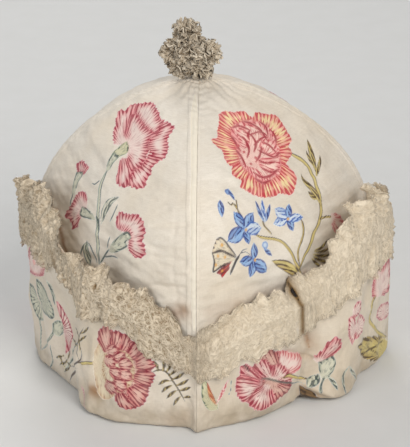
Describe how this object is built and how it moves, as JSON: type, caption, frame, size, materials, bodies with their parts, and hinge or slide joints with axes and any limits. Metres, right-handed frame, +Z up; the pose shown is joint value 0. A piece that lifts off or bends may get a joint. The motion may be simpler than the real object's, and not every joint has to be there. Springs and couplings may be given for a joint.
{
  "type": "painted silk house cap",
  "caption": "Round-crowned cloth cap to wear indoors, with a turned-up brim that dips at the front, gathered lace along the brim and a lace tuft on top.",
  "frame": {"origin": "middle of the cap's box, on the surface that its hem rests on", "axes": "+Z up towards the tuft; -Y to the front seam, where the brim dips; +X to the wearer's left hand"},
  "size_m": [0.2166, 0.217, 0.2065],
  "materials": {
    "painted_silk": "aged cream silk painted with flowers, soft sheen",
    "brim_silk": "aged cream silk painted with flowers, soft sheen",
    "lace": "matt unbleached lace, openwork"
  },
  "bodies": {
    "root": {"gore_front_right": "painted_silk", "gore_right_back": "painted_silk", "gore_back_left": "painted_silk", "gore_left_front": "painted_silk", "brim_front_right": "brim_silk", "brim_right_back": "brim_silk", "brim_back_left": "brim_silk", "brim_left_front": "brim_silk", "lace_front_right": "lace", "lace_right_back": "lace", "lace_back_left": "lace", "lace_left_front": "lace", "tuft": "lace"}
  },
  "joints": []
}
